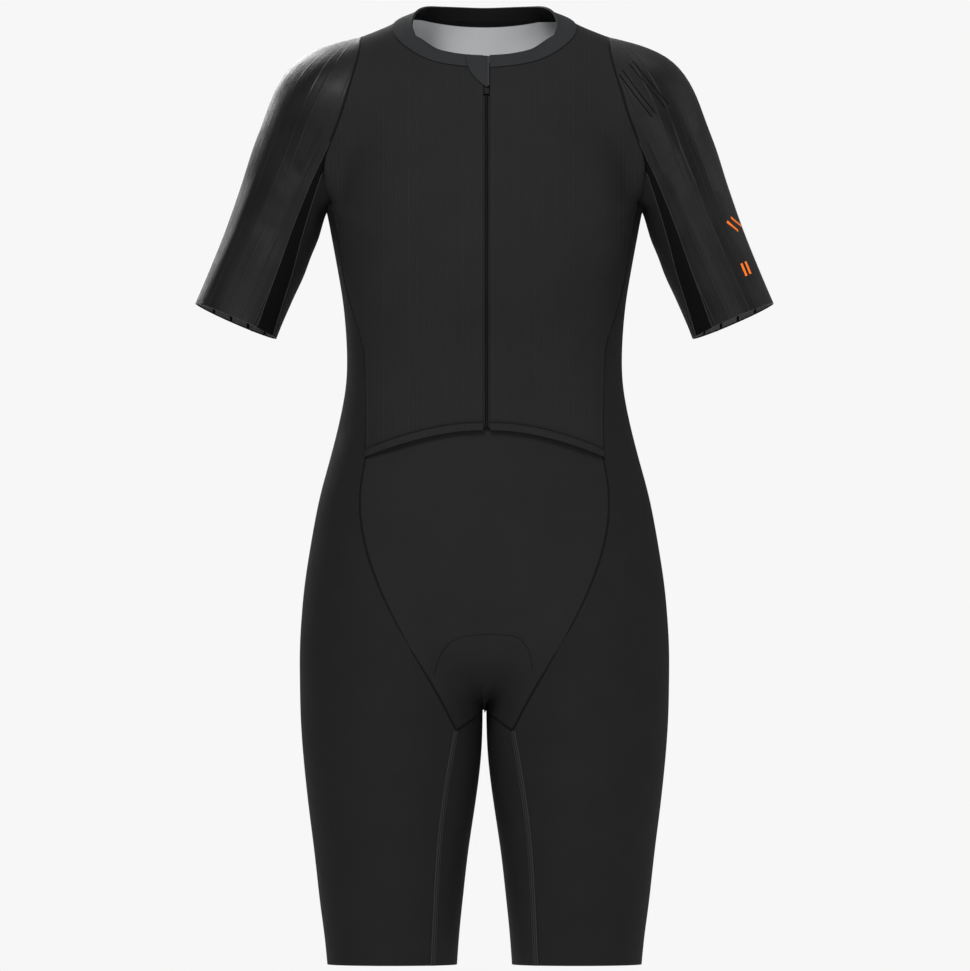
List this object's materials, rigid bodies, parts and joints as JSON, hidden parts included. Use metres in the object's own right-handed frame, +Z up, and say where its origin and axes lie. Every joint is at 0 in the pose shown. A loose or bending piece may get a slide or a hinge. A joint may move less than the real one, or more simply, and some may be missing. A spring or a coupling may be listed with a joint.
{
  "type": "triathlon suit",
  "caption": "Short-sleeved one-piece triathlon suit, filled out as worn, with a concealed front zip, a free jersey hem over the shorts and ridged sleeves.",
  "frame": {"origin": "midway between the shoulders, inside the yoke, at the height of the side neck points", "axes": "+X to the wearer's left, -Y out of the chest, +Z up; millimetres in the part's source, metres here"},
  "size_m": [0.564, 0.2542, 0.9352],
  "materials": {
    "jersey_rib": "matte rib knit, black outside and pale grey inside",
    "side_knit": "smooth black warp knit with a slight sheen",
    "sleeve_knit": "black knit with raised lines and a soft sheen",
    "mesh": "open black mesh",
    "binding": "soft charcoal binding",
    "gripper": "grey silicone blocks on black elastic",
    "pad": "brushed black pad",
    "zip_tape": "black woven tape with a fine coil",
    "slider": "black lacquered slider"
  },
  "bodies": {
    "root": {"front_right": "jersey_rib", "front_left": "jersey_rib", "back": "jersey_rib", "front_hem_right": "jersey_rib", "front_hem_left": "jersey_rib", "side_leg_right": "side_knit", "side_leg_left": "side_knit", "short_front": "side_knit", "seat": "side_knit", "inner_leg_right": "side_knit", "inner_leg_left": "side_knit", "sleeve_upper_right": "sleeve_knit", "sleeve_upper_left": "sleeve_knit", "sleeve_under_right": "sleeve_knit", "sleeve_under_left": "sleeve_knit", "sleeve_strip_right": "mesh", "sleeve_strip_left": "mesh", "neck_binding": "binding", "zip_garage": "binding", "cuff_grip_right": "gripper", "cuff_grip_left": "gripper", "seat_pad_front": "pad", "seat_pad_back": "pad", "zip_tape": "zip_tape", "zip_slider": "slider"}
  },
  "joints": []
}
